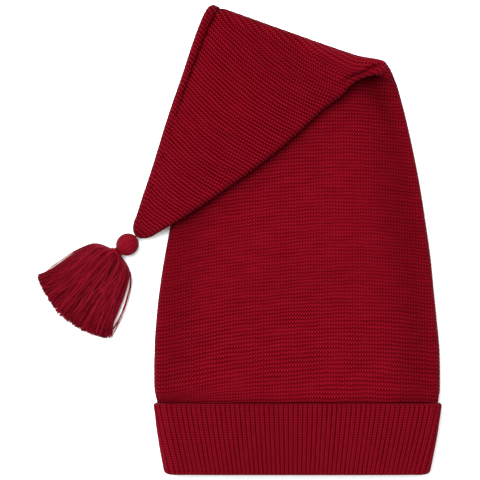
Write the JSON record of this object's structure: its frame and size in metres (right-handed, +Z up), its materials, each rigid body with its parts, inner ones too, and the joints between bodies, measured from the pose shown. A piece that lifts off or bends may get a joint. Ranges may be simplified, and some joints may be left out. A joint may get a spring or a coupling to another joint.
{
  "type": "christmas hat",
  "caption": "Knitted stocking hat with a turned-up ribbed brim, a ridged crown folded over at the top and a thread tassel on its tip, lying flat.",
  "frame": {"origin": "on the underside of the crown, on the surface that the hat lies on, 120 mm above the middle of the mouth's edge", "axes": "+Z up from the surface, +Y along the hat from its mouth towards the fold, +X to the right seen from above"},
  "size_m": [0.2705, 0.3104, 0.021],
  "materials": {
    "ridged_knit": "matt ridged cotton knitting, deep red",
    "ribbed_knit": "matt ribbed cotton knitting, deep red",
    "tassel_thread": "satin thread, deep red"
  },
  "bodies": {
    "root": {"crown": "ridged_knit", "cuff": "ribbed_knit", "tassel": "tassel_thread", "tassel_binding": "tassel_thread"}
  },
  "joints": []
}
